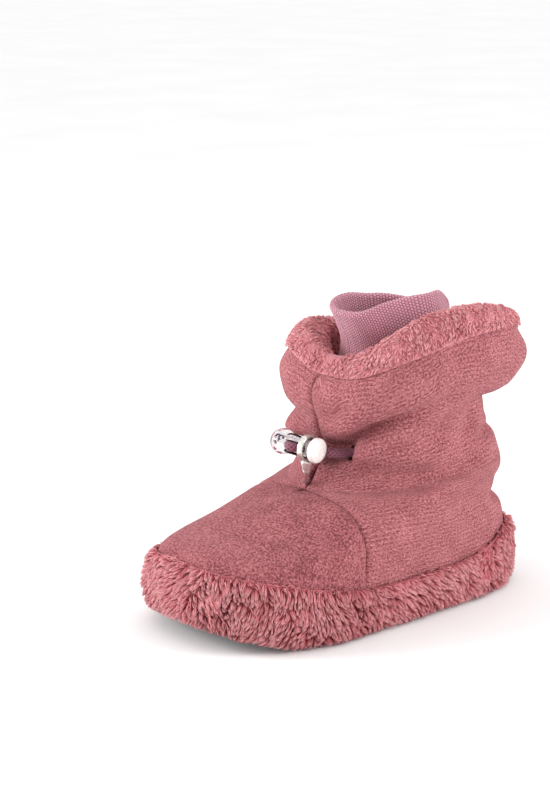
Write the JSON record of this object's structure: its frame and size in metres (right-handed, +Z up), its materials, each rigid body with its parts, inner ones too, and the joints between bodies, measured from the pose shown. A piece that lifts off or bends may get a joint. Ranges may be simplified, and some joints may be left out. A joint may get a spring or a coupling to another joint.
{
  "type": "baby bootie",
  "caption": "Slip-on baby bootie in fleece with a plush sidewall and collar, ribbed ankle cuff, elastic drawcord with sprung cord lock, and soft cloth sole with rubber grips.",
  "frame": {"origin": "on the ground under the middle of the bootie, in the plane of the heel grips' faces", "axes": "+Z up, toe towards -Y and heel towards +Y, +X is the side away from the inner arch"},
  "size_m": [0.0742, 0.1406, 0.1019],
  "materials": {
    "fleece": "short dense brushed fleece",
    "plush": "shaggy long-pile plush",
    "lining": "smooth brushed lining",
    "knit": "ribbed knit",
    "cord": "round elastic cord and tape",
    "twill": "woven cloth",
    "rubber": "glossy",
    "foam": "soft foam",
    "clear": "clear, polished",
    "chrome": "mirror",
    "pearl": "pearl white, satin gloss",
    "steel": "spring wire"
  },
  "bodies": {
    "bootie": {"outsole": "twill", "insole_foam": "foam", "footbed_cover": "lining", "plush_sidewall": "plush", "vamp": "fleece", "vamp_lining": "lining", "quarter_outer": "fleece", "quarter_inner": "fleece", "quarter_lining_outer": "lining", "quarter_lining_inner": "lining", "plush_collar": "plush", "rib_cuff": "knit", "drawcord": "cord", "tether_tab": "cord", "star_grip_01": "rubber", "star_grip_02": "rubber", "star_grip_03": "rubber", "star_grip_04": "rubber", "star_grip_05": "rubber", "star_grip_06": "rubber", "star_grip_07": "rubber", "star_grip_08": "rubber", "star_grip_09": "rubber", "star_grip_10": "rubber", "star_grip_11": "rubber", "star_grip_12": "rubber", "star_grip_13": "rubber", "star_grip_14": "rubber", "star_grip_15": "rubber", "heel_grip_ring_1": "rubber", "heel_grip_ring_2": "rubber", "heel_grip_disc": "rubber"},
    "cord_lock": {"lock_barrel": "clear", "lock_ring": "chrome", "lock_spring": "steel"},
    "push_button": {"lock_plunger": "pearl"}
  },
  "joints": [
    {"name": "lock_slide", "type": "slide", "parent": "bootie", "child": "cord_lock", "axis": [0.1994, -0.9799, 0], "range_m": [0, 0.002]},
    {"name": "button_press", "type": "slide", "parent": "cord_lock", "child": "push_button", "axis": [-0.9775, -0.1989, 0.0698], "range_m": [0, 0.0018], "stiffness_N_per_m": 400, "springref_m": -0.002, "deforming": ["lock_spring"]}
  ]
}
